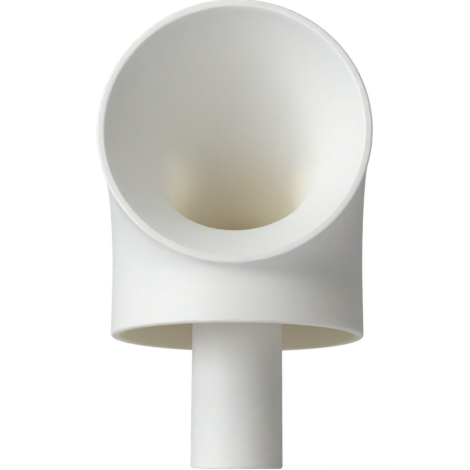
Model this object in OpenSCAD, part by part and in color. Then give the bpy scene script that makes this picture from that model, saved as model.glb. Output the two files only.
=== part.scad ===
// Elbow-mouthed Buchner funnel, moulded in white plastic, shown assembled.
// Origin: centre of the stem's lower end. +Z runs up the stem, and the mouth faces -Y.

/* [Outer shell] */
// Outside diameter of the skirt, the elbow and the mouth
shell_d = 70; // [62:1:90]
// Wall of the skirt
skirt_wall = 2.4; // [1.8:0.1:2.8]
// Wall of the elbow above the skirt
elbow_wall = 3.0; // [2.9:0.1:3.6]
// Straight height of the skirt, from its lower edge to the start of the elbow
skirt_len = 13; // [10:0.2:20]
// Radius of the inside corner where the elbow turns under the mouth
corner_r = 1.0; // [0.6:0.2:6]
// Straight length of the branch between the elbow and the rim
branch_len = 0.5; // [0.2:0.1:6]
// Rounding of the skirt's lower edge
edge_r = 0.8; // [0.3:0.1:0.9]

/* [Bowl] */
// Front-to-back length of the rim ring
rim_len = 2.0; // [1.6:0.1:4]
// Width of the rim's flat front, from its outer to its inner edge
rim_w = 2.2; // [1.4:0.1:2.8]
// Rounding of the rim's two front edges
rim_round = 0.6; // [0.3:0.1:0.7]
// Wall of the bowl
bowl_wall = 2.2; // [1.6:0.1:2.6]
// How far the bowl's spigot reaches into the shell
spigot_len = 2.0; // [1:0.1:2.4]
// How much deeper than the spigot and the elbow's wall the shell's mouth is counterbored
seat_extra = 0; // [0:0.1:1]
// Inside diameter of the throat, where the bowl meets the hub
throat_d = 30; // [25:0.5:34]
// Height of the bowl's lower end above the web
throat_rise = 7; // [5:0.5:13]
// How quickly the bowl flares: 1 is an even cone, larger keeps the throat narrow for longer
flare = 2.1; // [1.2:0.1:3]

/* [Hub] */
// Thickness of the web that closes the top of the skirt
web_t = 2.4; // [2:0.1:4]
// Wall of the hub's collar
collar_wall = 2.4; // [1.8:0.1:3]
// How far the collar reaches down below the web
collar_drop = 1.6; // [0.8:0.1:3]
// Height of the plate's ledge above the collar's lower end
ledge_h = 7; // [6.6:0.1:8]
// Thickness of the plate's ledge
ledge_t = 1.4; // [1:0.1:2]
// How far the ledge stands in from the collar's wall
ledge_w = 2.2; // [1.4:0.1:3]

/* [Stem] */
// Outside diameter of the stem
stem_d = 25; // [18:0.5:28]
// Bore of the stem
stem_bore_d = 20; // [12:0.5:21]
// Length of the stem below the skirt's edge
stem_below = 35.5; // [20:0.1:80]
// Rounding of the stem's lower edge
stem_round = 0.9; // [0.3:0.1:1]
// Thickness of the stem's shoulder
shoulder_t = 1.6; // [1.2:0.1:2.4]
// Height of the catch cone at the top of the stem
cone_h = 4; // [2:0.5:5]

/* [Filter plate] */
// Thickness of the filter plate
plate_t = 2.4; // [1.6:0.1:3]
// Diameter of each drain hole
hole_d = 1.8; // [1:0.1:2.2]
// Distance from the outermost drain holes to the ledge
hole_margin = 2.0; // [0.5:0.1:3]
// Number of rings of drain holes around the middle one
hole_rings = 3; // [1:1:3]

/* [Seals] */
// Thickness of the ring under the filter plate
plate_seal_t = 0.8; // [0.5:0.1:1.2]
// Cord diameter of the stem's O-ring
oring_cord = 1.3; // [1:0.1:1.5]
// Thickness of the neck gasket
gasket_t = 2.0; // [1.5:0.1:2.5]
// Width of the neck gasket, from its inner to its outer edge
gasket_w = 6; // [4:0.5:8]
// Depth of the groove that holds the neck gasket
gasket_seat = 1.0; // [0.5:0.1:1.4]

/* [Fits] */
// Radial gap at a bonded or seated joint
bond_gap = 0.1; // [0.05:0.01:0.2]
// Radial gap where the stem slides in its socket
slide_gap = 0.05; // [0.02:0.01:0.09]
// Radial gap around the loose filter plate
plate_gap = 0.2; // [0.1:0.05:0.3]

/* [Hidden] */
$fn = 96;
e = 0.01;

// heights, from the stem's lower end
shell_r = shell_d / 2;
skirt_z = stem_below;
bend_z = skirt_z + skirt_len;
bend_r = shell_r + corner_r;
mouth_z = bend_z + bend_r;
web_z = bend_z - web_t;
collar_z = web_z - collar_drop;
ledge_z = collar_z + ledge_h;
throat_z = bend_z + throat_rise;
seal_z = ledge_z;
plate_z = seal_z + plate_seal_t;

// distances in front of the stem's axis
seat_y = bend_r + branch_len;
mouth_y = seat_y + rim_len;

// radii
skirt_bore_r = shell_r - skirt_wall;
elbow_bore_r = shell_r - elbow_wall;
mouth_bore_r = shell_r - rim_w;
spigot_r = mouth_bore_r - bond_gap;
throat_r = throat_d / 2;
collar_r = throat_r + collar_wall;
stem_r = stem_d / 2;
bore_r = stem_bore_d / 2;
plug_r = throat_r - slide_gap;
groove_r = plug_r - oring_cord;
ledge_r = throat_r - ledge_w;
plate_r = throat_r - plate_gap;
hole_pitch = (ledge_r - hole_margin - hole_d / 2) / hole_rings;
gasket_r = (skirt_bore_r + collar_r) / 2;

// the stem's plug fills the socket up to just under the ledge
plug_top_z = ledge_z - ledge_t - bond_gap;
groove_z = (collar_z + plug_top_z) / 2;
plug_edge = 1.2;

// the bowl: round sections along a quarter ellipse from the throat up and out to the mouth
bowl_sides = 64;
bowl_steps = 24;
rim_steps = 4;
rise = mouth_z - throat_z;
rim_round_y = mouth_y - rim_round;
rim_inner_r = shell_r - rim_w + rim_round;
rim_outer_r = shell_r - rim_round;
rim_tilt = 32; // slope of the bowl's wall where it meets the rim's rounding
bowl_end_y = rim_round_y + rim_round * sin(rim_tilt);
bowl_end_r = rim_inner_r - rim_round * cos(rim_tilt);
outer_from = 0.82; // where along the bowl its outside leaves the spigot

// a round section is [y, z, tilt, radius]: tilt is 0 when flat and 90 when it faces -Y
function bowl_section(t, extra) = let (a = 90 * t)
    [-bowl_end_y * (1 - cos(a)), throat_z + rise * sin(a),
     atan2(bowl_end_y * sin(a), rise * cos(a)),
     throat_r + (bowl_end_r - throat_r) * pow(t, flare) + extra];

// a section square to the mouth's axis
function rim_section(y, r) = [-y, mouth_z, 90, r];

// the section at angle a round a front edge of the rim: 0 faces the bowl, 90 the front and 180 outwards
function rim_edge(r, a) = rim_section(rim_round_y + rim_round * sin(a), r - rim_round * cos(a));

// the points of one section, from its lowest or foremost point round
function section_points(s) = [for (i = [0 : bowl_sides - 1]) let (a = 360 * i / bowl_sides)
    [s[3] * sin(a), s[0] - s[3] * cos(a) * cos(s[2]), s[1] - s[3] * cos(a) * sin(s[2])]];

// the bowl's skin, as sections up the inside, round the rim and back down the outside
bowl_sections = concat(
    [for (i = [0 : bowl_steps]) bowl_section(i / bowl_steps, 0)],
    [for (i = [1 : rim_steps]) rim_edge(rim_inner_r, rim_tilt + (90 - rim_tilt) * i / rim_steps)],
    [for (i = [0 : rim_steps]) rim_edge(rim_outer_r, 90 + 90 * i / rim_steps)],
    [rim_section(seat_y, shell_r), rim_section(seat_y, spigot_r),
     rim_section(seat_y - spigot_len, spigot_r)],
    [for (i = [bowl_steps : -1 : 0]) bowl_section(outer_from * i / bowl_steps, bowl_wall)]);

// joins a closed chain of sections into one skin
module skin(sections) {
    rows = len(sections);
    points = [for (s = sections) each section_points(s)];
    faces = [for (j = [0 : rows - 1], i = [0 : bowl_sides - 1]) let (
            k = (i + 1) % bowl_sides,
            a = j * bowl_sides, b = ((j + 1) % rows) * bowl_sides)
        each [[a + i, a + k, b + k], [a + i, b + k, b + i]]];
    polyhedron(points = points, faces = faces);
}

// a tube standing on z
module tube(z, h, outer, inner) {
    translate([0, 0, z]) difference() {
        cylinder(h = h, r = outer);
        translate([0, 0, -e]) cylinder(h = h + 2 * e, r = inner);
    }
}

// a round bar bent through the elbow, from the skirt's top to the start of the branch
module elbow_bar(r) {
    translate([0, -bend_r, bend_z]) rotate([0, -90, 0])
        rotate_extrude(angle = 90) translate([bend_r, 0]) circle(r = r);
}

// a bar along the mouth's axis, from y = -from forward to y = -to
module mouth_bar(from, to, r) {
    translate([0, -from, mouth_z]) rotate([90, 0, 0]) cylinder(h = to - from, r = r);
}

module outer_shell() {
    color("white") difference() {
        union() {
            rotate_extrude() translate([0, skirt_z]) union() {
                translate([edge_r, 0]) square([shell_r - 2 * edge_r, skirt_len]);
                translate([0, edge_r]) square([shell_r, skirt_len - edge_r]);
                translate([shell_r - edge_r, edge_r]) circle(r = edge_r);
            }
            elbow_bar(shell_r);
            mouth_bar(bend_r, seat_y, shell_r);
        }
        translate([0, 0, skirt_z - e]) cylinder(h = skirt_len + e, r = skirt_bore_r);
        elbow_bar(elbow_bore_r);
        mouth_bar(seat_y - spigot_len - elbow_wall - seat_extra, seat_y + e, mouth_bore_r);
    }
}

module bowl_liner() {
    color("ghostwhite") skin(bowl_sections);
}

module throat_hub() {
    color("whitesmoke") difference() {
        union() {
            translate([0, 0, collar_z]) cylinder(h = throat_z - collar_z, r = collar_r);
            translate([0, 0, web_z]) cylinder(h = web_t, r = skirt_bore_r - bond_gap);
        }
        translate([0, 0, ledge_z]) cylinder(h = throat_z - ledge_z + e, r = throat_r);
        translate([0, 0, collar_z - e]) cylinder(h = ledge_h - ledge_t + e, r = throat_r);
        translate([0, 0, collar_z]) cylinder(h = throat_z - collar_z, r = ledge_r);
        tube(web_z - e, gasket_seat + e, gasket_r + gasket_w / 2 + bond_gap,
             gasket_r - gasket_w / 2 - bond_gap);
    }
}

module neck_gasket() {
    color("lightgray")
        tube(web_z + gasket_seat - gasket_t, gasket_t, gasket_r + gasket_w / 2, gasket_r - gasket_w / 2);
}

module filter_plate() {
    color("white") difference() {
        translate([0, 0, plate_z]) cylinder(h = plate_t, r = plate_r);
        translate([0, 0, plate_z - e]) {
            cylinder(h = plate_t + 2 * e, d = hole_d, $fn = 24);
            for (ring = [1 : hole_rings], i = [0 : 6 * ring - 1])
                rotate([0, 0, 60 * i / ring]) translate([ring * hole_pitch, 0, 0])
                    cylinder(h = plate_t + 2 * e, d = hole_d, $fn = 24);
        }
    }
}

module plate_seal() {
    color("lightgray") tube(seal_z, plate_seal_t, plate_r, ledge_r);
}

module drip_stem() {
    color("white") difference() {
        rotate_extrude() difference() {
            union() {
                translate([0, stem_round]) square([stem_r, collar_z - stem_round]);
                square([stem_r - stem_round, collar_z]);
                translate([stem_r - stem_round, stem_round]) circle(r = stem_round);
                translate([0, collar_z - shoulder_t]) square([collar_r, shoulder_t]);
                translate([0, collar_z - e]) square([plug_r, plug_top_z - collar_z + e]);
            }
            translate([groove_r, groove_z - oring_cord / 2]) square([oring_cord + 1, oring_cord]);
        }
        translate([0, 0, -e]) cylinder(h = plug_top_z + 2 * e, r = bore_r);
        translate([0, 0, plug_top_z - cone_h])
            cylinder(h = cone_h + e, r1 = bore_r, r2 = plug_r - plug_edge);
    }
}

module stem_o_ring() {
    color("lightgray") translate([0, 0, groove_z])
        rotate_extrude() translate([groove_r + oring_cord / 2, 0]) circle(d = oring_cord, $fn = 32);
}

outer_shell();
bowl_liner();
throat_hub();
neck_gasket();
filter_plate();
plate_seal();
drip_stem();
stem_o_ring();
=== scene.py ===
"""White moulded elbow funnel: smooth skins, milky plastic, studio light and camera round the frame."""

import math

import bpy
from mathutils import Matrix, Vector


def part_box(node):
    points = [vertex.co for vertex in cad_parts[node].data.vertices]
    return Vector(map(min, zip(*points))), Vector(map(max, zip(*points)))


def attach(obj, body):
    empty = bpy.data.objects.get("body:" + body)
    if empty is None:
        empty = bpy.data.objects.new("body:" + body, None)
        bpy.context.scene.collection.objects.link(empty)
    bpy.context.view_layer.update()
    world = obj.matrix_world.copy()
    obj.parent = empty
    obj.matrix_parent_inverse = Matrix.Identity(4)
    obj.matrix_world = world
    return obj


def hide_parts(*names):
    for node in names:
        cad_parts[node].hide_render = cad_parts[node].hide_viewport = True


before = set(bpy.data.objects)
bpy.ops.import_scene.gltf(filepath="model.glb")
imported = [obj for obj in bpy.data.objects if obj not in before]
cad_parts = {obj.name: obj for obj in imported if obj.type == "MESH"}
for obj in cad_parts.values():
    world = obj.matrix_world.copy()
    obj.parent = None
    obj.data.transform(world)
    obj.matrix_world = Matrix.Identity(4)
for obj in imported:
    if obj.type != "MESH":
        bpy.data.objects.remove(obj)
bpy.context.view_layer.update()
MM = 0.001

# ------------------------------------------------------------------ sizes
# places come from the frame's boxes
shell_low, shell_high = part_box("outer_shell")
bowl_low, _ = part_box("bowl_liner")
hub_low, hub_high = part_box("throat_hub")
_, stem_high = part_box("drip_stem")
gasket_low, gasket_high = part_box("neck_gasket")
plate_low, plate_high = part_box("filter_plate")
seal_low, seal_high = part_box("plate_seal")

SHELL_R = shell_high[0]
SKIRT_Z = shell_low[2]
SEAT_Y = -shell_low[1]
MOUTH_Y = -bowl_low[1]
MOUTH_Z = shell_high[2] - SHELL_R
THROAT_Z = hub_high[2]
COLLAR_Z = hub_low[2]
PLUG_TOP_Z = stem_high[2]
COLLAR_R = stem_high[0]

# sizes inside the outlines, as the pieces are made
BRANCH_LEN = 0.5 * MM
SKIRT_WALL = 2.4 * MM
ELBOW_WALL = 3.0 * MM
SPIGOT_LEN = 2.0 * MM
BOND_GAP = 0.1 * MM
RIM_W = 2.2 * MM
RIM_ROUND = 0.6 * MM
RIM_TILT = math.radians(32)
BOWL_WALL = 2.2 * MM
OUTER_FROM = 0.82
THROAT_R = 15.0 * MM
FLARE = 2.1
WEB_T = 2.4 * MM
LEDGE_H = 7.0 * MM
LEDGE_T = 1.4 * MM
LEDGE_W = 2.2 * MM
GASKET_W = 6.0 * MM
GASKET_SEAT = 1.0 * MM
STEM_R = 12.5 * MM
STEM_BORE_R = 10.0 * MM
STEM_ROUND = 0.9 * MM
SHOULDER_T = 1.6 * MM
PLUG_R = 14.95 * MM
PLUG_EDGE = 1.2 * MM
CONE_H = 4.0 * MM
ORING_CORD = 1.3 * MM
HOLE_R = 0.9 * MM
HOLE_PITCH = 3.3 * MM
HOLE_RINGS = 3

BEND_R = SEAT_Y - BRANCH_LEN
BEND_Z = MOUTH_Z - BEND_R
SKIRT_BORE_R = SHELL_R - SKIRT_WALL
ELBOW_BORE_R = SHELL_R - ELBOW_WALL
MOUTH_BORE_R = SHELL_R - RIM_W

SIDES = 160
PLATE_SIDES = 96
HOLE_SIDES = 24
MOST_OF_SIDE = 0.45
RIGHT = math.pi / 2


# ------------------------------------------------------------------ outlines
def arc(centre, radius, start, end, count):
    """Points (radius, height) round an arc, with angles in degrees from +radius towards +height."""
    points = []
    for i in range(count + 1):
        a = math.radians(start + (end - start) * i / count)
        points.append((centre[0] + radius * math.cos(a), centre[1] + radius * math.sin(a)))
    return points


def eased(corners, count=4):
    """A closed outline of (radius, height, fillet) corners, each turned into a small arc."""
    points = []
    for i, (x, y, fillet) in enumerate(corners):
        here = Vector((x, y))
        back = Vector(corners[i - 1][:2]) - here
        ahead = Vector(corners[(i + 1) % len(corners)][:2]) - here
        turn = math.pi - back.angle(ahead)
        reach = fillet * math.tan(turn / 2)
        reach = min(reach, MOST_OF_SIDE * back.length, MOST_OF_SIDE * ahead.length)
        back.normalize()
        ahead.normalize()
        start, end = here + back * reach, here + ahead * reach
        for k in range(count + 1):
            t = k / count
            p = start.lerp(here, t).lerp(here.lerp(end, t), t)
            points.append((p.x, p.y))
    return points


# ------------------------------------------------------------------ sections
# a round section is (y, z, tilt, radius): tilt is 0 when it lies flat and a right angle when it faces -Y
def flat(r, z):
    return (0.0, z, 0.0, r)


def facing(y, r):
    return (-y, MOUTH_Z, RIGHT, r)


def spanning(front, back):
    """The round section whose lowest and highest points are (y, z) front and back."""
    dy, dz = back[0] - front[0], back[1] - front[1]
    return ((front[0] + back[0]) / 2, (front[1] + back[1]) / 2, math.atan2(dz, dy), math.hypot(dy, dz) / 2)


def elbow(a, r):
    """A section of the bent bar, at an angle a round the bend."""
    return (-BEND_R * (1 - math.cos(a)), BEND_Z + BEND_R * math.sin(a), a, r)


def bend_point(r, a):
    """A point (y, z) in the elbow's middle plane, r from the bend's centre."""
    return (-BEND_R + r * math.cos(a), BEND_Z + r * math.sin(a))


RIM_ROUND_Y = MOUTH_Y - RIM_ROUND
RIM_INNER_R = SHELL_R - RIM_W + RIM_ROUND
RIM_OUTER_R = SHELL_R - RIM_ROUND
BOWL_END_Y = RIM_ROUND_Y + RIM_ROUND * math.sin(RIM_TILT)
BOWL_END_R = RIM_INNER_R - RIM_ROUND * math.cos(RIM_TILT)
RISE = MOUTH_Z - THROAT_Z


def bowl(t, extra=0.0):
    """A section of the bowl: its middle runs along a quarter ellipse from the throat to the mouth."""
    a = RIGHT * t
    return (-BOWL_END_Y * (1 - math.cos(a)), THROAT_Z + RISE * math.sin(a),
            math.atan2(BOWL_END_Y * math.sin(a), RISE * math.cos(a)),
            THROAT_R + (BOWL_END_R - THROAT_R) * t ** FLARE + extra)


def steps(start, end, count):
    return [start + (end - start) * i / count for i in range(count + 1)]


# ------------------------------------------------------------------ meshes
def link(name, mesh, material):
    mesh.materials.append(material)
    mesh.polygons.foreach_set("use_smooth", [True] * len(mesh.polygons))
    piece = bpy.data.objects.new(name, mesh)
    bpy.context.scene.collection.objects.link(piece)
    return piece


def even(piece):
    """Weighs the shading by the faces' areas, so that flat bands beside small fillets stay flat."""
    weigh = piece.modifiers.new("even shading", "WEIGHTED_NORMAL")
    weigh.keep_sharp = True
    return piece


def skin(name, sections, material):
    """Joins a closed chain of round sections into one smooth skin."""
    verts, faces = [], []
    for y, z, tilt, r in sections:
        for i in range(SIDES):
            a = 2 * math.pi * i / SIDES
            out = r * math.cos(a)
            verts.append((r * math.sin(a), y - out * math.cos(tilt), z - out * math.sin(tilt)))
    rows = len(sections)
    for j in range(rows):
        this, after = j * SIDES, (j + 1) % rows * SIDES
        for i in range(SIDES):
            k = (i + 1) % SIDES
            faces.append((this + i, this + k, after + k, after + i))
    mesh = bpy.data.meshes.new(name)
    mesh.from_pydata(verts, [], faces)
    mesh.update()
    return even(link(name, mesh, material))


def lathe(name, corners, material):
    """Turns a closed outline of (radius, height, fillet) corners round the stem's axis."""
    return skin(name, [flat(r, z) for r, z in eased(corners)], material)


# ------------------------------------------------------------------ materials
def new_material(name):
    material = bpy.data.materials.new(name)
    material.use_nodes = True
    nodes, links = material.node_tree.nodes, material.node_tree.links
    return material, nodes, links, nodes["Principled BSDF"]


def span(nodes, links, value, low, high, to_low=0.0, to_high=1.0):
    """Maps a value from one span to another, smoothly and clamped."""
    made = nodes.new("ShaderNodeMapRange")
    made.interpolation_type = "SMOOTHSTEP"
    made.inputs["From Min"].default_value = low
    made.inputs["From Max"].default_value = high
    made.inputs["To Min"].default_value = to_low
    made.inputs["To Max"].default_value = to_high
    links.new(value, made.inputs["Value"])
    return made.outputs["Result"]


def blend_colours(nodes, links, factor, first, second):
    made = nodes.new("ShaderNodeMix")
    made.data_type = "RGBA"
    links.new(factor, made.inputs[0])
    for socket, colour in ((made.inputs[6], first), (made.inputs[7], second)):
        if isinstance(colour, tuple):
            socket.default_value = (*colour, 1)
        else:
            links.new(colour, socket)
    return made.outputs[2]


def noise(nodes, links, place, scale, detail=3.0):
    made = nodes.new("ShaderNodeTexNoise")
    made.inputs["Scale"].default_value = scale
    made.inputs["Detail"].default_value = detail
    links.new(place, made.inputs["Vector"])
    return made.outputs["Fac"]


# the plastic's colours, with painted shade and warm bounce light from the walls down into the throat, and
# its finish
WHITE = (0.93, 0.921, 0.894)
CREAM = (0.90, 0.875, 0.81)
# the next three colours are painted shade: warmer and darker where the throat and the skirt's inside lie in
# shade
PAINTED_WARM_SHADE = (0.90, 0.85, 0.70)
PAINTED_DEEP_SHADE = (0.64, 0.54, 0.31)
SKIRT_SHADE_COLOUR = (0.90, 0.84, 0.68)
LINE_COLOUR = (0.97, 0.95, 0.93)
LINE_TOP, LINE_END = 0.95, 0.78
LINE_TURN = math.radians(218)
LINE_FADES = (0.06 * MM, 0.22 * MM)
CLOUD_SCALE, CLOUD_MOST = 60.0, 0.16
GLOSS_SCALE, GLOSS_LOW, GLOSS_HIGH = 240.0, 0.44, 0.54
PEBBLE_SCALE, PEBBLE_DETAIL = 1500.0, 2.0
PEBBLE_STRENGTH, PEBBLE_DEPTH = 0.12, 0.04 * MM
SCATTER, SCATTER_COLOUR, SCATTER_DEPTH = 0.6, (1.0, 0.85, 0.55), 1.6 * MM
PLASTIC_IOR, PLASTIC_SPECULAR = 1.49, 0.3
RUBBER_DARK, RUBBER_LIGHT = (0.62, 0.61, 0.58), (0.70, 0.69, 0.66)
RUBBER_CLOUD_SCALE, RUBBER_ROUGHNESS = 300.0, 0.75


def vector_math(nodes, links, operation, first, second, output="Value"):
    made = nodes.new("ShaderNodeVectorMath")
    made.operation = operation
    for socket, value in ((made.inputs[0], first), (made.inputs[1], second)):
        if isinstance(value, bpy.types.NodeSocket):
            links.new(value, socket)
        else:
            socket.default_value = value
    return made.outputs[output]


def scalar_math(nodes, links, operation, *values):
    made = nodes.new("ShaderNodeMath")
    made.operation = operation
    for socket, value in zip(made.inputs, values):
        links.new(value, socket)
    return made.outputs[0]


def painted_shade_near(deep_place, deep_at, warm_at, white_at):
    """Painted shade: turns the white warmer and then darker and browner towards a place deep inside the
    piece, where shade and warm light bounced off the walls fall.
    """
    def tint(nodes, links, place, colour):
        away = vector_math(nodes, links, "DISTANCE", place, deep_place)
        warm_to_white = span(nodes, links, away, warm_at, white_at)
        colour = blend_colours(nodes, links, warm_to_white, PAINTED_WARM_SHADE, colour)
        deep_to_warm = span(nodes, links, away, deep_at, warm_at)
        return blend_colours(nodes, links, deep_to_warm, PAINTED_DEEP_SHADE, colour)
    return tint


def painted_skirt_shade(nodes, links, place, colour):
    """Painted shade for the skirt's inner wall, darker and warmer, since only light that has passed between
    the walls reaches it.
    """
    outward = vector_math(nodes, links, "MULTIPLY", place, (1, 1, 0), "Vector")
    from_axis = vector_math(nodes, links, "LENGTH", outward, (0, 0, 0))
    height = vector_math(nodes, links, "DOT_PRODUCT", place, (0, 0, 1))
    inner = span(nodes, links, from_axis, SKIRT_BORE_R + 0.2 * MM, SKIRT_BORE_R + 1.2 * MM, 1.0, 0.0)
    low = span(nodes, links, height, BEND_Z, BEND_Z + 0.5 * MM, 1.0, 0.0)
    mask = scalar_math(nodes, links, "MULTIPLY", inner, low)
    return blend_colours(nodes, links, mask, colour, SKIRT_SHADE_COLOUR)


def paint_glow_through(material, spots, colour, most):
    """Painted glow: emission about a few places, standing for light that comes through the wall from
    outside.
    """
    nodes, links = material.node_tree.nodes, material.node_tree.links
    shader = nodes["Principled BSDF"]
    place = nodes.new("ShaderNodeTexCoord").outputs["Object"]
    glows = []
    for centre, reach in spots:
        away = vector_math(nodes, links, "DISTANCE", place, centre)
        glows.append(span(nodes, links, away, 0.0, reach, most, 0.0))
    total = glows[0]
    for glow in glows[1:]:
        total = scalar_math(nodes, links, "ADD", total, glow)
    shader.inputs["Emission Color"].default_value = (*colour, 1)
    links.new(total, shader.inputs["Emission Strength"])


def flow_line(nodes, links, place, colour):
    """The pale hairline that the melt left in the bowl, running down from near the rim."""
    (y0, z0, tilt0, r0), (y1, z1, tilt1, r1) = bowl(LINE_TOP), bowl(LINE_END)
    ends = []
    for y, z, tilt, r in ((y0, z0, tilt0, r0), (y1, z1, tilt1, r1)):
        out = r * math.cos(LINE_TURN)
        ends.append(Vector((r * math.sin(LINE_TURN), y - out * math.cos(tilt), z - out * math.sin(tilt))))
    along = ends[1] - ends[0]
    inward = Vector((0, (y0 + y1) / 2, (z0 + z1) / 2)) - (ends[0] + ends[1]) / 2
    across = along.cross(inward).normalized()
    from_top = vector_math(nodes, links, "SUBTRACT", place, tuple(ends[0]), "Vector")
    aside = vector_math(nodes, links, "DOT_PRODUCT", from_top, tuple(across))
    aside = scalar_math(nodes, links, "ABSOLUTE", aside)
    narrow = span(nodes, links, aside, *LINE_FADES, 1.0, 0.0)
    share = vector_math(nodes, links, "DOT_PRODUCT", from_top, tuple(along / along.length_squared))
    starts = span(nodes, links, share, 0.0, 0.1)
    fades = span(nodes, links, share, 0.75, 1.1, 1.0, 0.0)
    mask = scalar_math(nodes, links, "MULTIPLY", starts, fades)
    mask = scalar_math(nodes, links, "MULTIPLY", narrow, mask)
    return blend_colours(nodes, links, mask, colour, LINE_COLOUR)


def milky_plastic(name, *shade_and_marks):
    """Matte moulded plastic: faint clouds of cream in the white, finely pebbled."""
    material, nodes, links, shader = new_material(name)
    place = nodes.new("ShaderNodeTexCoord").outputs["Object"]
    clouds = span(nodes, links, noise(nodes, links, place, CLOUD_SCALE), 0.35, 0.75, 0.0, CLOUD_MOST)
    colour = blend_colours(nodes, links, clouds, WHITE, CREAM)
    # the functions passed in paint shade over the colour; the bowl's also draws its flow line
    for tint in shade_and_marks:
        colour = tint(nodes, links, place, colour)
    links.new(colour, shader.inputs["Base Color"])
    gloss = span(nodes, links, noise(nodes, links, place, GLOSS_SCALE), 0.3, 0.7, GLOSS_LOW, GLOSS_HIGH)
    links.new(gloss, shader.inputs["Roughness"])
    bump = nodes.new("ShaderNodeBump")
    bump.inputs["Strength"].default_value = PEBBLE_STRENGTH
    bump.inputs["Distance"].default_value = PEBBLE_DEPTH
    links.new(noise(nodes, links, place, PEBBLE_SCALE, PEBBLE_DETAIL), bump.inputs["Height"])
    links.new(bump.outputs["Normal"], shader.inputs["Normal"])
    shader.inputs["Subsurface Weight"].default_value = SCATTER
    shader.inputs["Subsurface Radius"].default_value = SCATTER_COLOUR
    shader.inputs["Subsurface Scale"].default_value = SCATTER_DEPTH
    shader.inputs["IOR"].default_value = PLASTIC_IOR
    shader.inputs["Specular IOR Level"].default_value = PLASTIC_SPECULAR
    return material


def rubber(name):
    """Pale, soft, slightly uneven silicone for the seals."""
    material, nodes, links, shader = new_material(name)
    place = nodes.new("ShaderNodeTexCoord").outputs["Object"]
    clouds = span(nodes, links, noise(nodes, links, place, RUBBER_CLOUD_SCALE), 0.3, 0.7)
    colour = blend_colours(nodes, links, clouds, RUBBER_DARK, RUBBER_LIGHT)
    links.new(colour, shader.inputs["Base Color"])
    shader.inputs["Roughness"].default_value = RUBBER_ROUGHNESS
    return material


# ------------------------------------------------------------------ pieces
EDGE = 0.25 * MM


def make_shell(material):
    """The skirt, the elbow and the seat behind the rim, as one skin outside and in."""
    corner_in = BEND_R - ELBOW_BORE_R
    seat_back = SEAT_Y - SPIGOT_LEN
    front_stop = math.acos((BEND_R - seat_back + 0.1 * MM) / corner_in)
    back_r = BEND_R + ELBOW_BORE_R
    back_stop = math.acos((BEND_R - seat_back + ELBOW_WALL) / back_r)
    skirt_edge = 0.8 * MM
    bottom = eased([(SKIRT_BORE_R, SKIRT_Z + 3 * MM, 0), (SKIRT_BORE_R, SKIRT_Z, 0.5 * MM),
                    (SHELL_R, SKIRT_Z, skirt_edge), (SHELL_R, SKIRT_Z + 3 * MM, 0)], 6)[7:-7]
    sections = [flat(r, z) for r, z in bottom]
    sections += [flat(SHELL_R, z) for z in steps(SKIRT_Z + 2 * MM, BEND_Z - 0.5 * MM, 8)]
    sections += [elbow(a, SHELL_R) for a in steps(0, RIGHT, 48)]
    for y, r in arc((SEAT_Y - EDGE, SHELL_R - EDGE), EDGE, 90, 0, 4):
        sections.append(facing(y, r))
    for y, r in arc((SEAT_Y - EDGE, MOUTH_BORE_R + EDGE), EDGE, 0, -90, 4):
        sections.append(facing(y, r))
    drop = MOUTH_Z - MOUTH_BORE_R
    seat_end = (-(seat_back - ELBOW_WALL), MOUTH_Z + MOUTH_BORE_R)
    sections.append(spanning((-seat_back, drop), seat_end))
    front = bend_point(corner_in, front_stop)
    for a in steps(back_stop, front_stop, 10):
        sections.append(spanning(front, bend_point(back_r, a)))
    sections += [elbow(a, ELBOW_BORE_R) for a in steps(front_stop, 0, 30)[1:]]
    sections += [flat(SKIRT_BORE_R, z) for z in steps(BEND_Z, SKIRT_Z + 2 * MM, 6)]
    return skin("elbow_shell", sections, material)


def make_bowl(material):
    """The flared bowl with its rounded rim and the spigot that seats in the shell."""
    rim = arc((RIM_ROUND_Y, RIM_INNER_R), RIM_ROUND, -90 + math.degrees(RIM_TILT), 0, 8)
    rim += arc((RIM_ROUND_Y, RIM_OUTER_R), RIM_ROUND, 0, 90, 8)
    sections = [bowl(t) for t in steps(0.004, 1, 72)[:-1]]
    sections += [facing(y, r) for y, r in rim]
    for y, r in arc((SEAT_Y + EDGE, SHELL_R - EDGE), EDGE, 90, 180, 4):
        sections.append(facing(y, r))
    spigot_r = MOUTH_BORE_R - BOND_GAP
    sections.append(facing(SEAT_Y, spigot_r))
    sections.append(facing(SEAT_Y - SPIGOT_LEN + EDGE, spigot_r))
    sections.append(facing(SEAT_Y - SPIGOT_LEN, spigot_r - EDGE))
    sections += [bowl(OUTER_FROM * t, BOWL_WALL) for t in steps(1, 0, 40)]
    return skin("flared_bowl", sections, material)


def make_hub(material):
    web_r = SKIRT_BORE_R - BOND_GAP
    web_low = BEND_Z - WEB_T
    groove_top = web_low + GASKET_SEAT
    middle = (SKIRT_BORE_R + COLLAR_R) / 2
    groove_out = middle + GASKET_W / 2 + BOND_GAP
    groove_in = middle - GASKET_W / 2 - BOND_GAP
    ledge_z = COLLAR_Z + LEDGE_H
    ledge_r = THROAT_R - LEDGE_W
    soft = 0.3 * MM
    return lathe("throat_collar", [
        (THROAT_R, COLLAR_Z, soft), (COLLAR_R, COLLAR_Z, soft), (COLLAR_R, web_low, soft),
        (groove_in, web_low, soft), (groove_in, groove_top, soft), (groove_out, groove_top, soft),
        (groove_out, web_low, soft), (web_r, web_low, soft), (web_r, BEND_Z, soft), (COLLAR_R, BEND_Z, soft),
        (COLLAR_R, THROAT_Z, soft), (THROAT_R, THROAT_Z, 0.1 * MM), (THROAT_R, ledge_z, soft),
        (ledge_r, ledge_z, soft), (ledge_r, ledge_z - LEDGE_T, soft), (THROAT_R, ledge_z - LEDGE_T, soft)],
        material)


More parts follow.
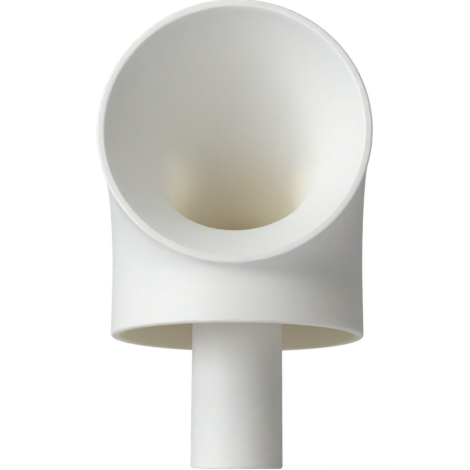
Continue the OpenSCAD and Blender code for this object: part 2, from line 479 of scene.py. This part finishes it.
def make_stem(material):
    groove_z = (COLLAR_Z + PLUG_TOP_Z) / 2
    groove_r = PLUG_R - ORING_CORD
    half = ORING_CORD / 2
    soft = 0.25 * MM
    return lathe("drip_tube", [
        (STEM_BORE_R, 0.0, 0.5 * MM), (STEM_R, 0.0, STEM_ROUND), (STEM_R, COLLAR_Z - SHOULDER_T, soft),
        (COLLAR_R, COLLAR_Z - SHOULDER_T, soft), (COLLAR_R, COLLAR_Z, soft), (PLUG_R, COLLAR_Z, 0.1 * MM),
        (PLUG_R, groove_z - half, 0.1 * MM), (groove_r, groove_z - half, 0.1 * MM),
        (groove_r, groove_z + half, 0.1 * MM), (PLUG_R, groove_z + half, 0.1 * MM),
        (PLUG_R, PLUG_TOP_Z, soft), (PLUG_R - PLUG_EDGE, PLUG_TOP_Z, soft),
        (STEM_BORE_R, PLUG_TOP_Z - CONE_H, soft)], material)


def make_gasket(material):
    middle = (SKIRT_BORE_R + COLLAR_R) / 2
    low, high = gasket_low[2], gasket_high[2]
    soft = 0.5 * MM
    return lathe("face_gasket", [
        (middle - GASKET_W / 2, low, soft), (middle + GASKET_W / 2, low, soft),
        (middle + GASKET_W / 2, high, soft), (middle - GASKET_W / 2, high, soft)], material)


def make_plate_seal(material):
    low, high = seal_low[2], seal_high[2]
    inner, outer = THROAT_R - LEDGE_W, seal_high[0]
    soft = 0.25 * MM
    return lathe("plate_ring", [
        (inner, low, soft), (outer, low, soft), (outer, high, soft), (inner, high, soft)], material)


def make_o_ring(material):
    groove_z = (COLLAR_Z + PLUG_TOP_Z) / 2
    middle = PLUG_R - ORING_CORD / 2
    loop = arc((middle, groove_z), ORING_CORD / 2, 0, 360, 24)[:-1]
    return skin("stem_seal", [flat(r, z) for r, z in loop], material)


def make_plate(material):
    """The filter plate: a disc outline with its ring of round holes, filled and given a soft edge."""
    soft = 0.15 * MM
    curve = bpy.data.curves.new("strainer", "CURVE")
    curve.dimensions = "2D"
    curve.fill_mode = "BOTH"
    holes = [(0.0, 0.0)]
    for ring in range(1, HOLE_RINGS + 1):
        for i in range(6 * ring):
            a = 2 * math.pi * i / (6 * ring)
            holes.append((ring * HOLE_PITCH * math.cos(a), ring * HOLE_PITCH * math.sin(a)))
    rounds = [(0.0, 0.0, plate_high[0] - soft, PLATE_SIDES)]
    rounds += [(x, y, HOLE_R + soft, HOLE_SIDES) for x, y in holes]
    for x, y, r, count in rounds:
        spline = curve.splines.new("POLY")
        spline.points.add(count - 1)
        for k, point in enumerate(spline.points):
            a = 2 * math.pi * k / count
            point.co = (x + r * math.cos(a), y + r * math.sin(a), 0, 1)
        spline.use_cyclic_u = True
    low, high = plate_low[2], plate_high[2]
    curve.extrude = (high - low) / 2 - soft
    curve.bevel_depth = soft
    curve.bevel_resolution = 3
    outline = bpy.data.objects.new("strainer_outline", curve)
    bpy.context.scene.collection.objects.link(outline)
    bpy.context.view_layer.update()
    ready = outline.evaluated_get(bpy.context.evaluated_depsgraph_get())
    mesh = bpy.data.meshes.new_from_object(ready)
    bpy.data.objects.remove(outline)
    mesh.transform(Matrix.Translation((0, 0, (low + high) / 2)))
    mesh.materials.clear()
    return even(link("strainer", mesh, material))


# the shell gets painted shade on the skirt's inner wall
shell_plastic = milky_plastic("shell plastic", painted_skirt_shade)
# painted shade: the bowl turns warmer and darker towards its throat
bowl_painted_shade = painted_shade_near((0, 6 * MM, THROAT_Z + 3 * MM), 8 * MM, 18 * MM, 40 * MM)
bowl_plastic = milky_plastic("bowl plastic", bowl_painted_shade, flow_line)
# painted glow, standing for the key light that comes through the plastic on both flanks of the throat
LEFT_FLANK = ((-17 * MM, -5 * MM, THROAT_Z + 22 * MM), 15 * MM)
RIGHT_FLANK = ((18 * MM, -7 * MM, THROAT_Z + 20 * MM), 12 * MM)
PAINTED_GLOW_COLOUR, PAINTED_GLOW_MOST = (1.0, 0.95, 0.82), 0.11
paint_glow_through(bowl_plastic, [LEFT_FLANK, RIGHT_FLANK], PAINTED_GLOW_COLOUR, PAINTED_GLOW_MOST)
# painted shade: the hub turns warmer and darker near the throat
hub_plastic = milky_plastic("hub plastic", painted_shade_near((0, 0, THROAT_Z), 5 * MM, 12 * MM, 60 * MM))
stem_plastic = milky_plastic("stem plastic")
# painted shade: the plate turns warmer and darker near the throat
plate_painted_shade = painted_shade_near((0, 0, THROAT_Z), 5 * MM, 20 * MM, 70 * MM)
plate_plastic = milky_plastic("plate plastic", plate_painted_shade)
seal_rubber = rubber("pale rubber")

PIECES = [
    (make_shell, shell_plastic, "housing", "outer_shell", "shell"),
    (make_bowl, bowl_plastic, "housing", "bowl_liner", "bowl"),
    (make_hub, hub_plastic, "housing", "throat_hub", "shell"),
    (make_gasket, seal_rubber, "housing", "neck_gasket", "seal"),
    (make_plate_seal, seal_rubber, "housing", "plate_seal", "seal"),
    (make_plate, plate_plastic, "plate", "filter_plate", "plate"),
    (make_stem, stem_plastic, "stem", "drip_stem", "stem"),
    (make_o_ring, seal_rubber, "stem", "stem_o_ring", "seal"),
]
for make, material, body, replaced, slot in PIECES:
    piece = make(material)
    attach(piece, body)
    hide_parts(replaced)

# ------------------------------------------------------------------ floor, light and camera
# strengths as the piece is lit; the camera sees the floor brighter and the backdrop white
FLOOR_GLOW, FLOOR_SEEN = 0.085, 0.75
FRONT_FILL, BACK_FILL = 0.03, 0.33
FILL_COLOUR = (1.0, 0.97, 0.945, 1)
FLOOR_HALF = 3.0
FLOOR_COLOUR = (0.88, 0.88, 0.88, 1)

floor_mesh = bpy.data.meshes.new("floor")
corners = [(x * FLOOR_HALF, y * FLOOR_HALF, 0) for x, y in ((-1, -1), (1, -1), (1, 1), (-1, 1))]
floor_mesh.from_pydata(corners, [], [(0, 1, 2, 3)])
floor = bpy.data.objects.new("floor", floor_mesh)
bpy.context.scene.collection.objects.link(floor)
floor_material, nodes, links, shader = new_material("pale floor")
shader.inputs["Base Color"].default_value = FLOOR_COLOUR
shader.inputs["Roughness"].default_value = 0.9
shader.inputs["Emission Color"].default_value = (1, 1, 1, 1)
looked_at = nodes.new("ShaderNodeLightPath").outputs["Is Camera Ray"]
floor_light = span(nodes, links, looked_at, 0.0, 1.0, FLOOR_GLOW, FLOOR_SEEN)
links.new(floor_light, shader.inputs["Emission Strength"])
floor_mesh.materials.append(floor_material)

world = bpy.data.worlds.new("studio")
bpy.context.scene.world = world
world.use_nodes = True
nodes, links = world.node_tree.nodes, world.node_tree.links
seen = nodes["Background"]
seen.inputs["Strength"].default_value = 1.0
seen.inputs["Color"].default_value = (1, 1, 1, 1)
fill = nodes.new("ShaderNodeBackground")
fill.inputs["Color"].default_value = FILL_COLOUR
towards = nodes.new("ShaderNodeTexCoord").outputs["Generated"]
backward = vector_math(nodes, links, "DOT_PRODUCT", towards, (0, 1, 0))
links.new(span(nodes, links, backward, -0.2, 0.4, FRONT_FILL, BACK_FILL), fill.inputs["Strength"])
ray = nodes.new("ShaderNodeLightPath")
choice = nodes.new("ShaderNodeMixShader")
links.new(ray.outputs["Is Camera Ray"], choice.inputs[0])
links.new(fill.outputs[0], choice.inputs[1])
links.new(seen.outputs[0], choice.inputs[2])
links.new(choice.outputs[0], nodes["World Output"].inputs["Surface"])

CENTRE = Vector((0, 0, 0.065))
LAMP_AWAY = 0.9


def area_light(name, azimuth, elevation, size, power, colour):
    """A soft square light; azimuth 0 is in front of the mouth and grows towards +X."""
    a, e = math.radians(azimuth), math.radians(elevation)
    data = bpy.data.lights.new(name, "AREA")
    data.size = size
    data.energy = power
    data.color = colour
    lamp = bpy.data.objects.new(name, data)
    bpy.context.scene.collection.objects.link(lamp)
    aim = Vector((math.sin(a) * math.cos(e), -math.cos(a) * math.cos(e), math.sin(e)))
    lamp.location = CENTRE + aim * LAMP_AWAY
    lamp.rotation_euler = aim.to_track_quat("Z", "Y").to_euler()


area_light("key", -49, 5, 0.6, 6.15, (0.90, 0.95, 1.0))
area_light("high", -12, 44, 0.5, 2.3, (1.0, 0.97, 0.93))

# the camera stands just above the floor and looks up at the mouth
DISTANCE = 0.2884
CAMERA_Z = 1.0 * MM
LENS, SENSOR, CLIP_START = 79.4, 36.0, 0.01
AROUND = math.radians(1.55)
HEADING = math.radians(1.70)
PITCH = math.radians(12.51)
ROLL = math.radians(0.31)
level = math.cos(PITCH)
ahead = Vector((-math.sin(HEADING) * level, math.cos(HEADING) * level, math.sin(PITCH)))
right = Vector((math.cos(HEADING), math.sin(HEADING), 0))
up = right.cross(ahead)
right, up = (right * math.cos(ROLL) + up * math.sin(ROLL),
             up * math.cos(ROLL) - right * math.sin(ROLL))
camera_data = bpy.data.cameras.new("camera")
camera_data.lens = LENS
camera_data.sensor_width = SENSOR
camera_data.clip_start = CLIP_START
camera = bpy.data.objects.new("camera", camera_data)
bpy.context.scene.collection.objects.link(camera)
placed = Matrix((right, up, -ahead)).transposed().to_4x4()
placed.translation = (DISTANCE * math.sin(AROUND), -DISTANCE * math.cos(AROUND), CAMERA_Z)
camera.matrix_world = placed
bpy.context.scene.camera = camera
bpy.context.scene.view_settings.view_transform = "Standard"
